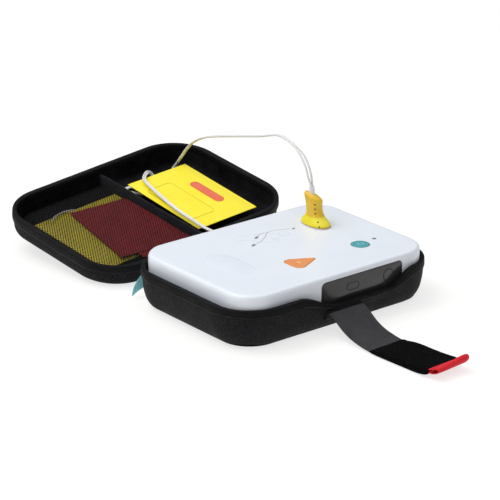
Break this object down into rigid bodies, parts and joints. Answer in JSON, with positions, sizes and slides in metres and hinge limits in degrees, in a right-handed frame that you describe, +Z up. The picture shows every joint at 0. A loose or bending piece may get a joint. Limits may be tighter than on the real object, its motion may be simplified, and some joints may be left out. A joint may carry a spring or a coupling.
{
  "type": "defibrillator in carry case",
  "caption": "Semi-automatic defibrillator lying in the tray of its open soft-shell carry case, with push buttons, plugged-in pad leads, a pads pouch in the lid and a closure strap.",
  "frame": {"origin": "on the table, under the middle of the case's tray", "axes": "+Z up; +Y from the front wall to the hinge and the open lid; +X along the hinge to the plug side"},
  "size_m": [0.3039, 0.6416, 0.1544],
  "materials": {
    "case_fabric": "matte",
    "case_binding": "matte",
    "case_lining": "matte",
    "webbing": "matte",
    "hook_loop": "matte",
    "tab_red": "satin",
    "ribbon_teal": "satin",
    "net": "matte",
    "shell_white": "satin",
    "trim_grey": "satin",
    "smoked": "gloss",
    "shock_orange": "satin",
    "power_teal": "satin",
    "lens": "gloss",
    "plug_yellow": "satin",
    "black_plastic": "satin",
    "lead_white": "satin",
    "pouch_yellow": "satin",
    "label_red": "satin",
    "leaflet_red": "satin",
    "circuit_board": "satin",
    "dome_rubber": "matte",
    "foot_rubber": "matte",
    "cell_jacket": "satin",
    "screw_steel": "satin",
    "contact_brass": "satin"
  },
  "bodies": {
    "case": {"tray_shell": "case_fabric", "tray_binding": "case_binding", "tray_liner": "case_lining", "strap_anchor": "webbing", "hinge_fabric": "case_fabric", "ribbon_tag": "ribbon_teal", "bottom_housing": "shell_white", "rubber_feet": "foot_rubber", "battery_door": "shell_white", "battery_cells": "cell_jacket", "battery_contacts": "screw_steel", "main_board": "circuit_board", "board_parts": "black_plastic", "board_screws": "screw_steel", "button_domes": "dome_rubber", "speaker": "black_plastic", "housing_screws": "screw_steel", "top_housing": "shell_white", "speaker_grille": "trim_grey", "front_window": "smoked", "front_board": "circuit_board", "ir_receiver": "smoked", "pads_socket": "trim_grey", "socket_contacts": "contact_brass", "status_light": "lens", "lead_plug_side": "lead_white", "lead_lid_side": "lead_white"},
    "lid": {"lid_shell": "case_fabric", "lid_binding": "case_binding", "lid_liner": "case_lining", "lid_divider": "case_binding", "hook_patch": "hook_loop", "net_pocket": "net", "net_trim": "case_binding", "spare_packet": "pouch_yellow", "leaflet": "leaflet_red", "packet_lead": "lead_white", "pads_pouch": "pouch_yellow", "pouch_label": "label_red"},
    "strap": {"strap_webbing": "webbing"},
    "strap_end": {"strap_pad": "hook_loop", "pull_tab": "tab_red"},
    "shock_button": {"shock_button": "shock_orange"},
    "power_button": {"power_button": "power_teal"},
    "plug": {"plug_shell": "plug_yellow", "plug_blade": "black_plastic", "plug_boot": "lead_white"}
  },
  "joints": [
    {"name": "lid_hinge", "type": "hinge", "parent": "case", "child": "lid", "pos_m": [0, 0.124, 0.0407], "axis": [-0.9988, -0.03, -0.04], "range_deg": [-132, 0], "deforming": ["hinge_fabric", "lead_lid_side"]},
    {"name": "strap_root", "type": "hinge", "parent": "case", "child": "strap", "pos_m": [0, -0.1115, 0.0245], "axis": [-1, 0, 0], "range_deg": [0, 85]},
    {"name": "strap_fold", "type": "hinge", "parent": "strap", "child": "strap_end", "pos_m": [0, -0.186, 0.0032], "axis": [-1, 0, 0], "range_deg": [0, 80]},
    {"name": "shock_press", "type": "slide", "parent": "case", "child": "shock_button", "axis": [0, 0, -1], "range_m": [0, 0.0015], "stiffness_N_per_m": 600, "springref_m": -0.0005},
    {"name": "power_press", "type": "slide", "parent": "case", "child": "power_button", "axis": [0, 0, -1], "range_m": [0, 0.0015], "stiffness_N_per_m": 600, "springref_m": -0.0005},
    {"name": "plug_pull", "type": "slide", "parent": "case", "child": "plug", "axis": [0, 0, 1], "range_m": [0, 0.012], "deforming": ["lead_plug_side"]}
  ]
}
